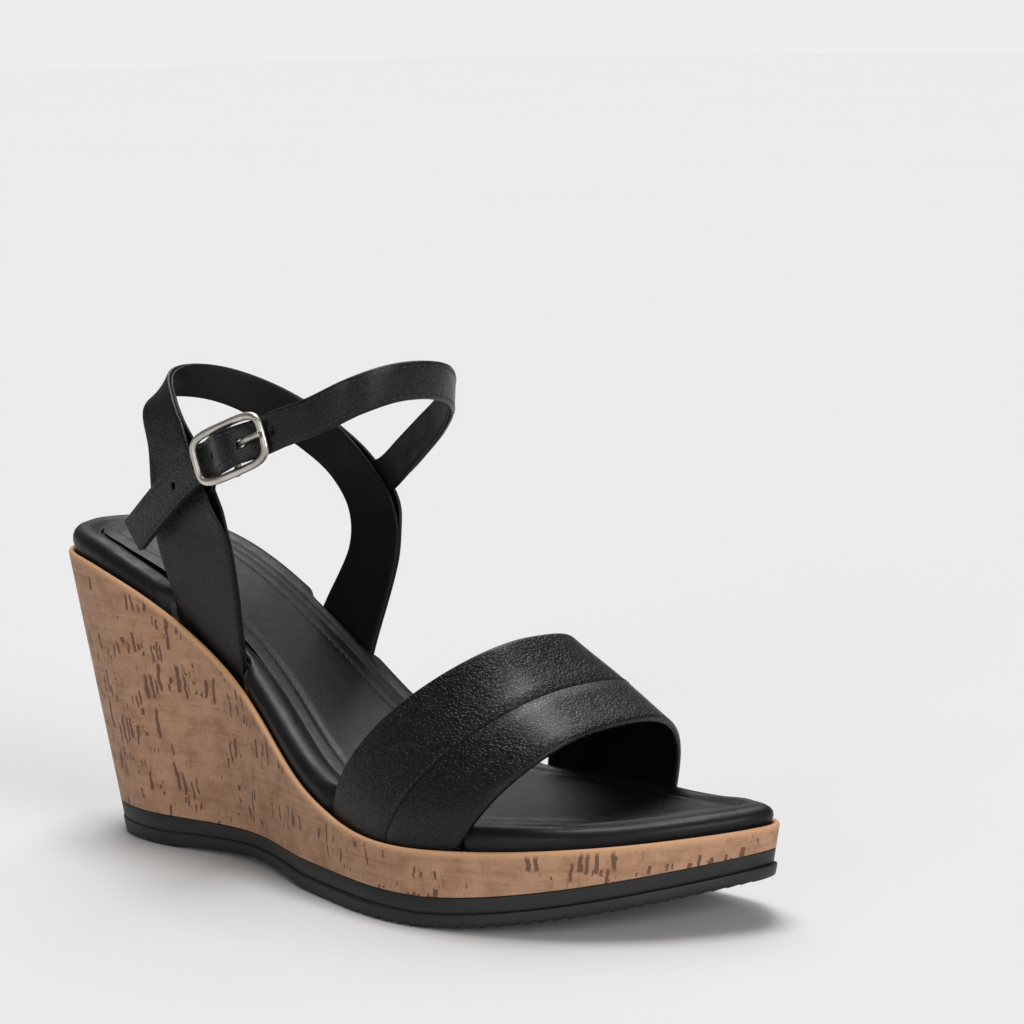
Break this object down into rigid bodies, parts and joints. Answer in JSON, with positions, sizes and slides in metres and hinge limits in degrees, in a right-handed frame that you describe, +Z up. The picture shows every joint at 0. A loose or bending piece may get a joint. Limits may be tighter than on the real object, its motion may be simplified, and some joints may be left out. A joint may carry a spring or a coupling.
{
  "type": "wedge sandal",
  "caption": "Right-foot wedge sandal with cork-wrapped sole, padded footbed, two-panel toe strap, back strap and buckled ankle strap.",
  "frame": {"origin": "centre of the heel's flat rest face, on the floor", "axes": "+X from heel to toe, +Y towards the inner side of the foot, +Z up"},
  "size_m": [0.2625, 0.0937, 0.1523],
  "materials": {
    "rubber": "semi-matte black moulded rubber",
    "core": "raw light pressed-cork core, hidden",
    "cork": "sealed natural cork veneer with dark flecks",
    "board": "pressed fibre board, hidden",
    "steel": "plain steel, hidden",
    "foam": "dark cushioning foam, hidden",
    "lining": "smooth black lining leather",
    "leather": "soft tumbled black leather with fine grain",
    "silver": "worn antique silver"
  },
  "bodies": {
    "shoe": {"outsole": "rubber", "wedge_core": "core", "cork_wrap": "cork", "insole_board": "board", "steel_shank": "steel", "shank_rivet_rear": "steel", "shank_rivet_front": "steel", "footbed_foam": "foam", "footbed_cover": "lining", "sock_lining": "lining", "vamp_front_panel": "leather", "vamp_rear_panel": "leather", "vamp_lining": "lining", "back_strap_outer": "leather", "back_strap_lining": "lining", "buckle_chape": "leather"},
    "ankle_strap": {"ankle_strap_outer": "leather", "ankle_strap_lining": "lining"},
    "buckle": {"buckle_frame": "silver"},
    "prong": {"buckle_prong": "silver"}
  },
  "joints": [
    {"name": "ankle_strap_swing", "type": "hinge", "parent": "shoe", "child": "ankle_strap", "pos_m": [0.0565, 0.0305, 0.1112], "axis": [-0.4801, 0, 0.8772], "range_deg": [0, 100], "deforming": ["ankle_strap_outer", "ankle_strap_lining"]},
    {"name": "buckle_swing", "type": "hinge", "parent": "shoe", "child": "buckle", "pos_m": [0.064, -0.0364, 0.12653], "axis": [-0.342, 0, 0.9397], "range_deg": [0, 70]},
    {"name": "prong_lift", "type": "hinge", "parent": "buckle", "child": "prong", "pos_m": [0.064, -0.0364, 0.12653], "axis": [0.342, 0, -0.9397], "range_deg": [0, 110]}
  ]
}
